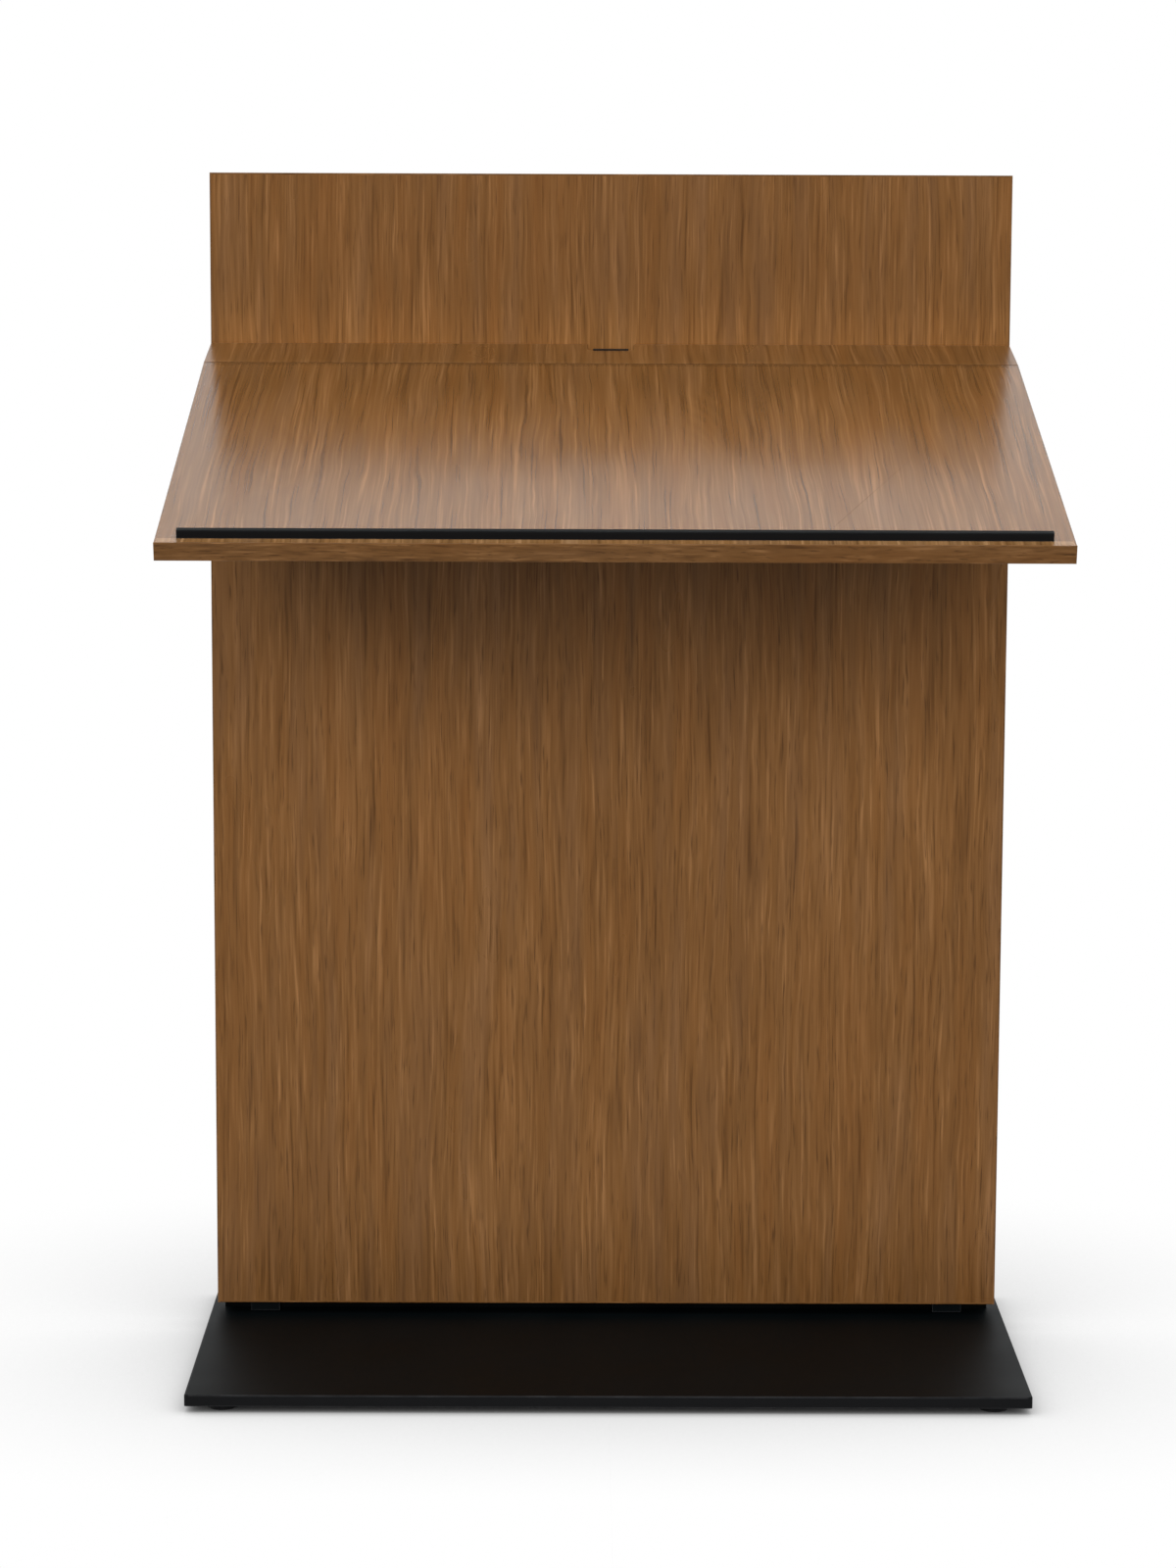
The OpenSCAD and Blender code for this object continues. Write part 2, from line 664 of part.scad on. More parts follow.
// Web between the panel, the two boards and a hollow curve
module web_profile() {
    tip = [seam_y - bracket_reach * cos(work_slope) + top_t * sin(work_slope),
        seam_z - bracket_reach * sin(work_slope) - top_t * cos(work_slope)];
    low_tip = tip + bracket_tip * [sin(work_slope), -cos(work_slope)];
    foot = [face_y, bracket_z];
    chord = foot - low_tip;
    chord_l = norm(chord);
    middle = (foot + low_tip) / 2;
    sag = sqrt(bracket_curve_r * bracket_curve_r - chord_l * chord_l / 4);
    curve_at = middle + sag * [chord[1], -chord[0]] / chord_l;
    difference() {
        polygon([tip, [seam_under_y, seam_under_z], [face_y, ledge_under(face_y)], foot, low_tip]);
        translate(curve_at) circle(bracket_curve_r, $fn = 360);
    }
}
module bracket() {
    color(black_steel) difference() {
        union() {
            intersection() {
                union() {
                    bracket_flange(work_slope, -bracket_reach, top_t);
                    bracket_flange(ledge_slope, -top_t, ledge_d);
                    translate([bracket_x, face_y - bracket_t, bracket_z])
                        cube([bracket_w, bracket_t, ledge_back_z - bracket_z]);
                }
                across(3 * board_w) bracket_limit();
            }
            translate([bracket_x + bracket_t / 2, 0, 0]) across(bracket_t) web_profile();
        }
        bracket_bolt_places() cylinder(h = 2 * bolt_l, r = bolt_dia / 2 + shank_gap, center = true);
        work_screw_places() cylinder(h = 2 * top_screw_l, r = wood_screw_dia / 2 + shank_gap, center = true);
        ledge_screw_places() cylinder(h = 2 * top_screw_l, r = wood_screw_dia / 2 + shank_gap, center = true);
    }
}
// Everything below the two boards and in front of the lower panel
module bracket_limit() {
    polygon([[work_front_y, work_front_z - 2 * work_l],
        [work_front_y + top_t * sin(work_slope), work_front_z - top_t * cos(work_slope)],
        [seam_under_y, seam_under_z], [face_y, ledge_under(face_y)], [face_y, work_front_z - 2 * work_l]]);
}
module bracket_right() { bracket(); }
module bracket_left() { mirror([1, 0, 0]) bracket(); }

module bracket_bolt_places() {
    each_side() for (z = bracket_bolt_zs)
        translate([upright_x, face_y - bracket_t, z]) inwards() children();
}
module bracket_bolts() {
    color(zinc) bracket_bolt_places() button_screw(bolt_dia, bolt_l);
}

module work_screw_places() {
    for (y = spread(-bracket_reach + bracket_w / 2, -bracket_w, work_screw_n)) each_side()
        on_slope(work_slope) translate([upright_x, y, -top_t - bracket_t]) children();
}
module ledge_screw_places() {
    each_side() on_slope(ledge_slope) translate([upright_x, ledge_screw_y, -top_t - bracket_t]) children();
}
module top_screws() {
    color(zinc) {
        work_screw_places() button_screw(wood_screw_dia, top_screw_l - tip_gap);
        ledge_screw_places() button_screw(wood_screw_dia, top_screw_l - tip_gap);
    }
}

// Cleat under the ledge

module cleat() {
    color(beech) difference() {
        across(2 * cleat_half) column_profile(face_y - cleat_d, face_y, cleat_z);
        cleat_wall_places() sunk_screw(wood_screw_dia, cleat_screw_l, wood_head, shank_gap);
        cleat_ledge_places() sunk_screw(wood_screw_dia, cleat_up_l, wood_head, shank_gap);
    }
}
module cleat_wall_places() {
    each_side() for (x = spread(rail_x0 + 1.5 * rail_h, cleat_half - rail_h, 2))
        translate([x, face_y - cleat_d, cleat_z + cleat_h / 3]) inwards() children();
}
module cleat_ledge_places() {
    each_side() for (x = spread(rail_x0, cleat_half - cleat_d, 3))
        translate([x, face_y - cleat_d / 2, cleat_z]) children();
}
module cleat_screws() {
    color(zinc) {
        cleat_wall_places() sunk_screw(wood_screw_dia, cleat_screw_l - tip_gap, wood_head);
        cleat_ledge_places() sunk_screw(wood_screw_dia, cleat_up_l - tip_gap, wood_head);
    }
}

// Stop bar

module bar_section() {
    square([bar_d, bar_h - bar_arris_r]);
    translate([bar_arris_r, 0]) square([bar_d - 2 * bar_arris_r, bar_h]);
    for (u = [bar_arris_r, bar_d - bar_arris_r]) translate([u, bar_h - bar_arris_r]) circle(bar_arris_r);
}
module bar_screw_places() {
    for (x = spread(-bar_l / 2 + bar_screw_inset, bar_l / 2 - bar_screw_inset, bar_screw_n))
        on_slope(work_slope) translate([x, -work_l + bar_setback + bar_d / 2, -top_t]) children();
}
module stop_bar() {
    color(black_steel) difference() {
        on_slope(work_slope) across(bar_l) translate([-work_l + bar_setback, 0]) bar_section();
        bar_screw_places() cylinder(h = bar_screw_l + shank_gap, r = bar_screw_dia / 2 + shank_gap);
    }
}
module stop_bar_screws() {
    color(zinc) bar_screw_places() sunk_screw(bar_screw_dia, bar_screw_l, bar_head);
}

base_plate();
glide_stem_front_left();
glide_stem_front_right();
glide_stem_back_left();
glide_stem_back_right();
glide_pad_front_left();
glide_pad_front_right();
glide_pad_back_left();
glide_pad_back_right();
upright_left();
upright_right();
foot_bolts();
upright_screws();
plinth_strip();
plinth_screws();
tall_panel();
tall_lipping_left();
tall_lipping_right();
tall_lipping_top();
tall_lipping_bottom();
lower_panel();
lower_lipping_left();
lower_lipping_right();
lower_lipping_bottom();
side_batten_left();
side_batten_right();
chase_batten_left();
chase_batten_right();
bottom_rail_left();
bottom_rail_right();
top_rail_left();
top_rail_right();
batten_screws();
ledge();
ledge_lipping_left();
ledge_lipping_right();
slot_edge_strip();
worksurface();
work_lipping_front();
work_lipping_left();
work_lipping_right();
seam_dowels();
bracket_left();
bracket_right();
bracket_bolts();
top_screws();
cleat();
cleat_screws();
stop_bar();
stop_bar_screws();
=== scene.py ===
"""Dresses the lectern: walnut veneer, black powder coat, soft studio light and the photograph's camera.

Everything is in metres, in the part's own frame: +Z up, +Y towards the audience, the speaker at -Y.
"""

import math
from collections import namedtuple

import bmesh
import bpy
from mathutils import Matrix, Vector

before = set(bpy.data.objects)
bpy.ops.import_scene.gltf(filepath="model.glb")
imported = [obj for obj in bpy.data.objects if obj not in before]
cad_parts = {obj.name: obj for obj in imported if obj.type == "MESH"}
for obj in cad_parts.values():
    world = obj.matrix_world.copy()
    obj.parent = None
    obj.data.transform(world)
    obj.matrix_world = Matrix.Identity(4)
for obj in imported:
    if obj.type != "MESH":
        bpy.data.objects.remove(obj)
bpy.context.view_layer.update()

UP = (0.0, 0.0, 1.0)
SPEAKER = (0.0, -1.0, 0.0)

# Camera, fitted to the edges of the lectern in the photograph (pixels of a 1200 x 1600 frame)
FOCAL_PX = 4144.8
IMAGE_H_PX = 1600
SENSOR_MM = 36.0
CAMERA_AT = Vector((-0.0388, -4.1628, 1.2427))
CAMERA_PITCH = math.radians(8.135)
CAMERA_YAW = math.radians(0.212)
CAMERA_ROLL = math.radians(-0.225)

# Lamps: elevation and bearing in degrees from the speaker's side, strength, and spread in degrees
LAMPS = {
    "front": (16, -2, 2.14, 24),
    "side_left": (50, -70, 1.18, 30),
    "side_right": (50, 70, 1.10, 30),
    "behind": (40, 180, 3.87, 30),
}
DOME_STRENGTH = 0.03

# Mirror rays find a white room beyond the lectern and a dim one behind the speaker
ROOM_BACK = 1.0
ROOM_FRONT = 0.15
# Half the width of the change from one to the other: of a direction's Y, and in metres on the floor
SKY_CHANGE = 0.35
FLOOR_CHANGE = 0.8

FLOOR_SIZE = 80.0
FLOOR_ALBEDO = 0.36
FLOOR_SHADOW_REACH = 0.6
FLOOR_SHADOW_DEPTH = 1.15
FLOOR_SHADOW_SAMPLES = 16


# Colours and node trees

def linear(value):
    """One channel of a screen colour, 0 to 255, in linear light."""
    share = value / 255
    return ((share + 0.055) / 1.055) ** 2.4 if value > 10 else share / 12.92


def srgb(r, g, b):
    """A colour written as it shows on screen, in linear light."""
    return (linear(r), linear(g), linear(b), 1.0)


def grey(level):
    """A grey in linear light."""
    return (level, level, level, 1.0)


class Graph:
    """A short way to write a node tree."""

    def __init__(self, tree):
        self.tree = tree

    def node(self, kind, inputs=None, **settings):
        """A node whose inputs are values or links from other nodes."""
        made = self.tree.nodes.new(kind)
        for key, value in settings.items():
            setattr(made, key, value)
        for key, value in (inputs or {}).items():
            if isinstance(value, bpy.types.NodeSocket):
                self.tree.links.new(value, made.inputs[key])
            else:
                made.inputs[key].default_value = value
        return made

    def math(self, operation, a, b=0.0, clamp=False):
        return self.node("ShaderNodeMath", {0: a, 1: b}, operation=operation, use_clamp=clamp).outputs[0]

    def plus(self, a, b):
        return self.math("ADD", a, b)

    def times(self, a, b):
        return self.math("MULTIPLY", a, b)

    def dot(self, a, b):
        return self.node("ShaderNodeVectorMath", {0: a, 1: b}, operation="DOT_PRODUCT").outputs["Value"]

    def remap(self, value, low, high, to_low=0.0, to_high=1.0, clamp=True):
        ends = {"From Min": low, "From Max": high, "To Min": to_low, "To Max": to_high}
        return self.node("ShaderNodeMapRange", {"Value": value, **ends}, clamp=clamp).outputs["Result"]

    def smooth(self, value, low, high):
        """0 at the low end, 1 at the high end, with a soft start and stop."""
        ends = {"From Min": low, "From Max": high}
        made = self.node("ShaderNodeMapRange", {"Value": value, **ends}, interpolation_type="SMOOTHSTEP")
        return made.outputs["Result"]

    def mix(self, factor, a, b, blend="MIX"):
        made = self.node("ShaderNodeMix", {0: factor, 6: a, 7: b}, data_type="RGBA", blend_type=blend)
        return made.outputs[2]

    def noise(self, vector, detail=2.0, roughness=0.5):
        inputs = {"Vector": vector, "Scale": 1.0, "Detail": detail, "Roughness": roughness}
        return self.node("ShaderNodeTexNoise", inputs).outputs["Fac"]

    def ramp(self, factor, stops):
        made = self.node("ShaderNodeValToRGB", {"Fac": factor})
        elements = made.color_ramp.elements
        while len(elements) < len(stops):
            elements.new(0.5)
        for element, (place, colour) in zip(elements, stops):
            element.position = place
            element.color = colour
        return made.outputs["Color"]

    def bump(self, height, distance):
        return self.node("ShaderNodeBump", {"Height": height, "Distance": distance}).outputs["Normal"]

    def place(self):
        """Object coordinates, which are the part's own frame."""
        return self.node("ShaderNodeTexCoord").outputs["Object"]

    def depth(self, vector):
        """The Y of a vector, towards the audience."""
        return self.node("ShaderNodeSeparateXYZ", {"Vector": vector}).outputs["Y"]

    def stretched(self, vector, size, shift=(0.0, 0.0, 0.0)):
        """The vector in units of a grain's size: (across, deep, along) in metres."""
        inputs = {"Vector": vector, "Scale": [1 / s for s in size], "Location": shift}
        return self.node("ShaderNodeMapping", inputs).outputs["Vector"]

    def speckle(self, size, detail=2.0, roughness=0.5):
        """Noise of one size in all directions."""
        return self.noise(self.stretched(self.place(), (size, size, size)), detail, roughness)


def new_material(name):
    """An empty material, its graph and its output node."""
    material = bpy.data.materials.new(name)
    material.use_nodes = True
    material.node_tree.nodes.clear()
    graph = Graph(material.node_tree)
    return material, graph, graph.node("ShaderNodeOutputMaterial")


def finish_surface(graph, output, inputs):
    """A Principled shader with these inputs, wired to the output."""
    shader = graph.node("ShaderNodeBsdfPrincipled", inputs)
    graph.tree.links.new(shader.outputs["BSDF"], output.inputs["Surface"])


# Nearly all of a noise lies between these
NOISE_LOW = 0.3
NOISE_HIGH = 0.7
# How far a surface's roughness strays in its cloudy patches
UNEVEN = 0.03


def uneven(graph, cloud, roughness):
    """A roughness that strays a little with a noise."""
    return graph.remap(cloud, NOISE_LOW, NOISE_HIGH, roughness - UNEVEN, roughness + UNEVEN)


# Where a face lies and where it looks

# The Z of a normal from which a face counts as upward
UPWARD = 0.5


def up_the_slope(tilt):
    """The direction that runs up a sloping board, towards the audience."""
    return (0.0, math.cos(tilt), math.sin(tilt))


def reach_of(node, direction):
    """How far a CAD node reaches along a direction: its least and its greatest value."""
    ahead = Vector(direction)
    reaches = [ahead.dot(vertex.co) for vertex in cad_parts[node].data.vertices]
    return min(reaches), max(reaches)


def slope_of(node):
    """Slope of a board's upper face: the one that most of its upward faces have, to a milliradian."""
    area = {}
    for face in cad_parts[node].data.polygons:
        if face.normal.z > UPWARD:
            slope = round(math.atan2(-face.normal.y, face.normal.z), 3)
            area[slope] = area.get(slope, 0) + face.area
    return max(area, key=area.get)


def fade(graph, direction, full, none):
    """1 on one place's side along a direction, fading to 0 at another place."""
    return graph.smooth(graph.dot(graph.place(), direction), none, full)


def facing(graph, direction):
    """How far a face looks along a direction: 1 straight along it, 0 square to it, -1 away."""
    return graph.dot(graph.node("ShaderNodeNewGeometry").outputs["True Normal"], direction)


# An arris starts and is full where its softened normal and its flat one agree by this much
ARRIS_SHOWS = (0.98, 0.80)
ARRIS_SAMPLES = 6
# Breaks in the wear: their size in metres, the noise between which they fade, and the least wear in them
WEAR_BREAK = 0.03
WEAR_BREAK_SHOWS = (0.35, 0.65)
WEAR_LEAST = 0.5


def edge_mask(graph, radius):
    """1 on an arris, 0 on the flat, broken up a little by noise."""
    soft = graph.node("ShaderNodeBevel", {"Radius": radius}, samples=ARRIS_SAMPLES).outputs["Normal"]
    flat = graph.node("ShaderNodeNewGeometry").outputs["Normal"]
    wear = graph.remap(graph.speckle(WEAR_BREAK, detail=3), *WEAR_BREAK_SHOWS, WEAR_LEAST, 1.0)
    return graph.times(graph.remap(graph.dot(soft, flat), *ARRIS_SHOWS), wear)


# Walnut

# Screen colours of the veneer and of its open edges
WALNUT_DEEP = srgb(90, 58, 28)
WALNUT_MID = srgb(123, 84, 45)
WALNUT_LIGHT = srgb(154, 110, 67)
WALNUT_RED = srgb(129, 83, 39)
WALNUT_PALE = srgb(119, 86, 57)
WALNUT_PORE = srgb(82, 53, 27)
RAW_EDGE = srgb(52, 34, 18)
WALNUT_LEVELS = [(0.05, WALNUT_DEEP), (0.5, WALNUT_MID), (0.95, WALNUT_LIGHT)]

# A part of the figure: its size across the grain and along it in metres, and its own place in the noise
Grain = namedtuple("Grain", "across along seed")
SWAY = Grain(0.09, 0.42, 2.3)
RIPPLE = Grain(0.016, 0.060, 5.1)
BAND = Grain(0.050, 0.55, 1.1)
STREAK = Grain(0.0105, 0.13, 2.9)
LINE = Grain(0.0046, 0.130, 4.3)
FIBRE = Grain(0.0021, 0.080, 6.1)
RING = Grain(0.10, 0.40, 7.7)
HUE = Grain(0.020, 0.24, 5.0)
SPARK = Grain(0.0030, 0.055, 3.7)
PORE = Grain(0.0017, 0.034, 8.8)
SEED_SLANT = 0.7

# Each layer of the figure, its weight, and whether it is sparse: a few strong lines
FIGURE_LAYERS = [
    (BAND, 0.09, False),
    (STREAK, 0.03, False),
    (LINE, 0.37, True),
    (FIBRE, 0.40, True),
]

# What a noise spans, which the figure takes from -1 to 1
FIGURE_SPAN = (0.2, 0.8)

# How far the lines sway to the side, in metres
SWAY_REACH = 0.006
RIPPLE_REACH = 0.0009

# Growth rings: how fast they follow each other across the grain, in radians per metre, how far they bend
# in radians, and the patches in which they show
RING_RATE = 420.0
RING_BEND = 30.0
RING_PATCH = (0.12, 0.12, 0.5)
RING_PATCH_AT = (1.0, 0.0, 9.0)
RING_PATCH_SHOWS = (0.48, 0.68)
RING_WEIGHT = 0.035

# Where sparks and pores start to show and where they are full, and how strong each shows
SPARK_SHOWS = (0.25, 0.85)
SPARK_WEIGHT = 0.03
PORE_SHOWS = (0.35, 0.95)
HUE_SHARE = 0.45

# Lacquer: its patches, how deep it dips over lines and pores, and its relief in metres
LACQUER_CLOUD = (0.08, 0.08, 0.20)
LACQUER_CLOUD_AT = (4.0, 1.0, 2.0)
LINE_DIP = 0.5
PORE_DIP = 0.6
LACQUER_RELIEF = 0.00008

# Arrises rubbed pale: their radius in metres, and how pale
LIPPING_ARRIS = 0.0012
LIPPING_WEAR = 0.5
# A board's open edges start and are full where a face looks this squarely up from the board
CUT_SHOWS = (0.97, 0.90)
CUT_SHARE = 0.75
# How far a face looks to the speaker from where a band of painted light or shade starts to show to where it
# is full
PAINTED_BAND_SHOWS = (0.0, 0.1)


def grain_frame(graph, tilt, along, shift=(0.0, 0.0, 0.0)):
    """Object coordinates turned so that the third one runs along the grain."""
    turn = {
        "Z": (-tilt, 0.0, 0.0),
        "X": (0.0, math.radians(-90), 0.0),
        "Y": (math.radians(90) - tilt, 0.0, 0.0),
    }[along]
    inputs = {"Vector": graph.place(), "Rotation": turn, "Location": shift}
    return graph.node("ShaderNodeMapping", inputs).outputs["Vector"]


def figure(graph, place, grain, stretch=1.0, detail=1.0):
    """Noise stretched along the grain, about -1 to 1; stretch makes its lines longer."""
    size = (grain.across, grain.across, grain.along * stretch)
    moved = graph.stretched(place, size, (grain.seed, 0.0, grain.seed * SEED_SLANT))
    return graph.remap(graph.noise(moved, detail), *FIGURE_SPAN, -1.0, 1.0, clamp=False)


def meander(graph, place):
    """Shifts the grain sideways, so that its lines run in long gentle waves."""
    slow = graph.times(figure(graph, place, SWAY, detail=2), SWAY_REACH)
    quick = graph.times(figure(graph, place, RIPPLE), RIPPLE_REACH)
    offset = graph.node("ShaderNodeCombineXYZ", {"X": graph.plus(slow, quick)}).outputs["Vector"]
    return graph.node("ShaderNodeVectorMath", {0: place, 1: offset}, operation="ADD").outputs["Vector"]


def growth_rings(graph, place, wavy):
    """Flames where the veneer cuts the rings at a low angle, in some patches only."""
    across = graph.node("ShaderNodeSeparateXYZ", {"Vector": wavy}).outputs["X"]
    bend = graph.times(figure(graph, place, RING), RING_BEND)
    wave = graph.math("SINE", graph.plus(graph.times(across, RING_RATE), bend))
    patch = graph.noise(graph.stretched(place, RING_PATCH, RING_PATCH_AT))
    return graph.times(wave, graph.remap(patch, *RING_PATCH_SHOWS))


def walnut_level(graph, place, wavy, stretch, contrast, rings):
    """How light the veneer is, 0 to 1."""
    level = 0.5
    for grain, weight, sparse in FIGURE_LAYERS:
        part = figure(graph, wavy, grain, stretch)
        if sparse:
            part = graph.times(part, graph.math("ABSOLUTE", part))
        level = graph.plus(graph.times(part, weight * contrast), level)
    level = graph.plus(graph.times(growth_rings(graph, place, wavy), RING_WEIGHT * rings), level)
    spark = graph.remap(figure(graph, wavy, SPARK, stretch), *SPARK_SHOWS)
    return graph.plus(graph.times(spark, SPARK_WEIGHT), level)


def walnut_colour(graph, place, shade, stretch, contrast, pored, rings):
    """The veneer's colour, its lightness and its pores."""
    wavy = meander(graph, place)
    level = walnut_level(graph, place, wavy, stretch, contrast, rings)
    pores = graph.remap(figure(graph, wavy, PORE, stretch), *PORE_SHOWS)
    hue = figure(graph, wavy, HUE)
    colour = graph.ramp(level, WALNUT_LEVELS)
    colour = graph.mix(graph.remap(hue, 0.0, 1.0, 0.0, HUE_SHARE), colour, WALNUT_RED)
    colour = graph.mix(graph.remap(hue, 0.0, -1.0, 0.0, HUE_SHARE), colour, WALNUT_PALE)
    colour = graph.mix(graph.times(pores, pored), colour, WALNUT_PORE)
    return graph.mix(1.0, colour, grey(shade), "MULTIPLY"), level, pores


def painted_light_band(direction, start, band):
    """A band of painted light or shade as walnut takes it: its direction, the places where it is full and
    gone, its tint.
    """
    full, none, tint = band
    return direction, start + full, start + none, tint


def paint_light_band(graph, colour, direction, full, none, tint):
    """Paints light or shade into the faces that look towards the speaker, in one band: their colour tinted
    paler or darker.
    """
    seen = graph.remap(facing(graph, SPEAKER), *PAINTED_BAND_SHOWS)
    where = graph.times(fade(graph, direction, full, none), seen)
    return graph.mix(where, colour, graph.mix(1.0, colour, tint, "MULTIPLY"))


def cut_edge(graph, tilt):
    """1 on the chamfers and cut sides of a sloping veneered board, 0 on its faces."""
    square_to_board = (0.0, -math.sin(tilt), math.cos(tilt))
    return graph.remap(graph.math("ABSOLUTE", facing(graph, square_to_board)), *CUT_SHOWS)


def walnut(name, along="Z", tilt=0.0, shift=(0.0, 0.0, 0.0), shade=1.0, roughness=0.30, specular=0.3,
           stretch=1.0, contrast=1.0, pored=0.75, rings=1.0, worn=False, cut=False, painted_light_bands=()):
    """Satin lacquered walnut whose figure runs along one axis.

    A shade below 1 darkens it. worn rubs its arrises pale, cut darkens a board's open edges, and the bands
    it is
    given are painted light and shade: strips tinted paler or darker where light or shade falls.
    """
    material, graph, output = new_material(name)
    place = grain_frame(graph, tilt, along, shift)
    colour, level, pores = walnut_colour(graph, place, shade, stretch, contrast, pored, rings)
    # Painted light and shade: each band tints the colour paler or darker
    for band in painted_light_bands:
        colour = paint_light_band(graph, colour, *band)
    if worn:
        colour = graph.mix(graph.times(edge_mask(graph, LIPPING_ARRIS), LIPPING_WEAR), colour, WALNUT_LIGHT)
    if cut:
        colour = graph.mix(graph.times(cut_edge(graph, tilt), CUT_SHARE), colour, RAW_EDGE)
    relief = graph.math("SUBTRACT", graph.times(level, LINE_DIP), graph.times(pores, PORE_DIP))
    cloud = graph.noise(graph.stretched(place, LACQUER_CLOUD, LACQUER_CLOUD_AT))
    finish_surface(graph, output, {
        "Base Color": colour,
        "Roughness": uneven(graph, cloud, roughness),
        "Specular IOR Level": specular,
        "Normal": graph.bump(relief, LACQUER_RELIEF),
    })
    return material


# Plain wood

# Sizes in metres and screen colours, dark and light
PLAIN_FIBRE = (0.002, 0.002, 0.05)
PLAIN_BAND = (0.012, 0.012, 0.4)
PLAIN_FIBRE_WEIGHT = 0.6
PLAIN_RELIEF = 0.0001
PLAIN_ROUGHNESS = (0.7, 0.55)
STAINED = (srgb(96, 66, 40), srgb(128, 92, 58))
BEECH = (srgb(168, 128, 92), srgb(198, 158, 120))


def plain_wood(name, colours, along="Z"):
    """Unlacquered batten or dowel wood."""
    material, graph, output = new_material(name)
    place = grain_frame(graph, 0.0, along)
    fibre = graph.noise(graph.stretched(place, PLAIN_FIBRE), detail=3, roughness=0.6)
    band = graph.noise(graph.stretched(place, PLAIN_BAND))
    level = graph.plus(graph.times(fibre, PLAIN_FIBRE_WEIGHT), graph.times(band, 1 - PLAIN_FIBRE_WEIGHT))
    dark, light = colours
    finish_surface(graph, output, {
        "Base Color": graph.ramp(level, [(NOISE_LOW, dark), (NOISE_HIGH, light)]),
        "Roughness": graph.remap(fibre, NOISE_LOW, NOISE_HIGH, *PLAIN_ROUGHNESS),
        "Normal": graph.bump(fibre, PLAIN_RELIEF),
    })
    return material


# Metal and plastic

BLACK_COAT = srgb(5, 10, 12)
# A deeper black for the strip in the gap under the boards, which is also painted shade of that gap
GAP_SHADE_BLACK = srgb(4, 4, 4)
DUST = srgb(14, 17, 18)
# Painted light: a paler grey that the coat takes on upright faces, so that they look lit from the front
UPRIGHT_PAINTED_LIGHT = srgb(25, 25, 26)
# Rubbed steel on the coat's arrises, which is also a painted highlight
RUBBED_STEEL_AND_HIGHLIGHT = srgb(95, 95, 97)
ZINC = (srgb(150, 152, 156), srgb(190, 190, 188))
NYLON = (srgb(20, 20, 21), srgb(28, 28, 29))

# Sizes in metres: orange peel, cloudy patches, arris that is rubbed and painted as a highlight, and relief
# of each finish
COAT_PEEL = 0.0011
COAT_CLOUD = 0.09
COAT_ARRIS = 0.0020
COAT_RELIEF = 0.00002
ZINC_GRAIN = 0.0004
ZINC_CLOUD = 0.004
ZINC_RELIEF = 0.00002
NYLON_GRAIN = 0.0006
NYLON_CLOUD = 0.01
NYLON_RELIEF = 0.00003

COAT_ROUGHNESS = 0.50
ZINC_ROUGHNESS = (0.28, 0.42)
NYLON_ROUGHNESS = (0.5, 0.65)

# Dust on the coat: the noise between which it grows, and its least and greatest share
DUST_SHOWS = (0.35, 0.70)
DUST_SHARE = (0.05, 0.50)
# A face starts to count as upright, and is so in full, where it looks this far up or down: there the coat's
# painted light starts and is full
UPRIGHT_SHOWS = (0.8, 0.2)


def powder_coat(name, colour, specular, upright_light=0.0, worn=0.0):
    """Satin black powder coat with orange peel and dust; painted light makes upright faces a paler grey,
    and arrises are rubbed pale, which is wear and a painted highlight.
    """
    material, graph, output = new_material(name)
    peel = graph.speckle(COAT_PEEL, roughness=0.6)
    cloud = graph.speckle(COAT_CLOUD, detail=3)
    coat = graph.mix(graph.remap(cloud, *DUST_SHOWS, *DUST_SHARE), colour, DUST)
    # Painted light: upright faces turn a paler grey
    upright = graph.remap(graph.math("ABSOLUTE", facing(graph, UP)), *UPRIGHT_SHOWS, 0.0, upright_light)
    coat = graph.mix(upright, coat, UPRIGHT_PAINTED_LIGHT)
    # Arrises rubbed pale: wear, and a painted highlight along the edges
    coat = graph.mix(graph.times(edge_mask(graph, COAT_ARRIS), worn), coat, RUBBED_STEEL_AND_HIGHLIGHT)
    finish_surface(graph, output, {
        "Base Color": coat,
        "Roughness": uneven(graph, cloud, COAT_ROUGHNESS),
        "Specular IOR Level": specular,
        "Normal": graph.bump(peel, COAT_RELIEF),
    })
    return material


def zinc_plate(name):
    """Bright zinc plate with cloudy patches."""
    material, graph, output = new_material(name)
    cloud = graph.speckle(ZINC_CLOUD, detail=3)
    dark, light = ZINC
    finish_surface(graph, output, {
        "Base Color": graph.ramp(cloud, [(NOISE_LOW, dark), (NOISE_HIGH, light)]),
        "Metallic": 1.0,
        "Roughness": graph.remap(cloud, NOISE_LOW, NOISE_HIGH, *ZINC_ROUGHNESS),
        "Normal": graph.bump(graph.speckle(ZINC_GRAIN), ZINC_RELIEF),
    })
    return material


def moulded_nylon(name):
    """Matt black nylon with a fine spark-eroded texture."""
    material, graph, output = new_material(name)
    grain = graph.speckle(NYLON_GRAIN)
    dark, light = NYLON
    finish_surface(graph, output, {
        "Base Color": graph.ramp(graph.speckle(NYLON_CLOUD), [(NOISE_LOW, dark), (NOISE_HIGH, light)]),
        "Roughness": graph.remap(grain, NOISE_LOW, NOISE_HIGH, *NYLON_ROUGHNESS),
        "Normal": graph.bump(grain, NYLON_RELIEF),
    })
    return material


# Studio

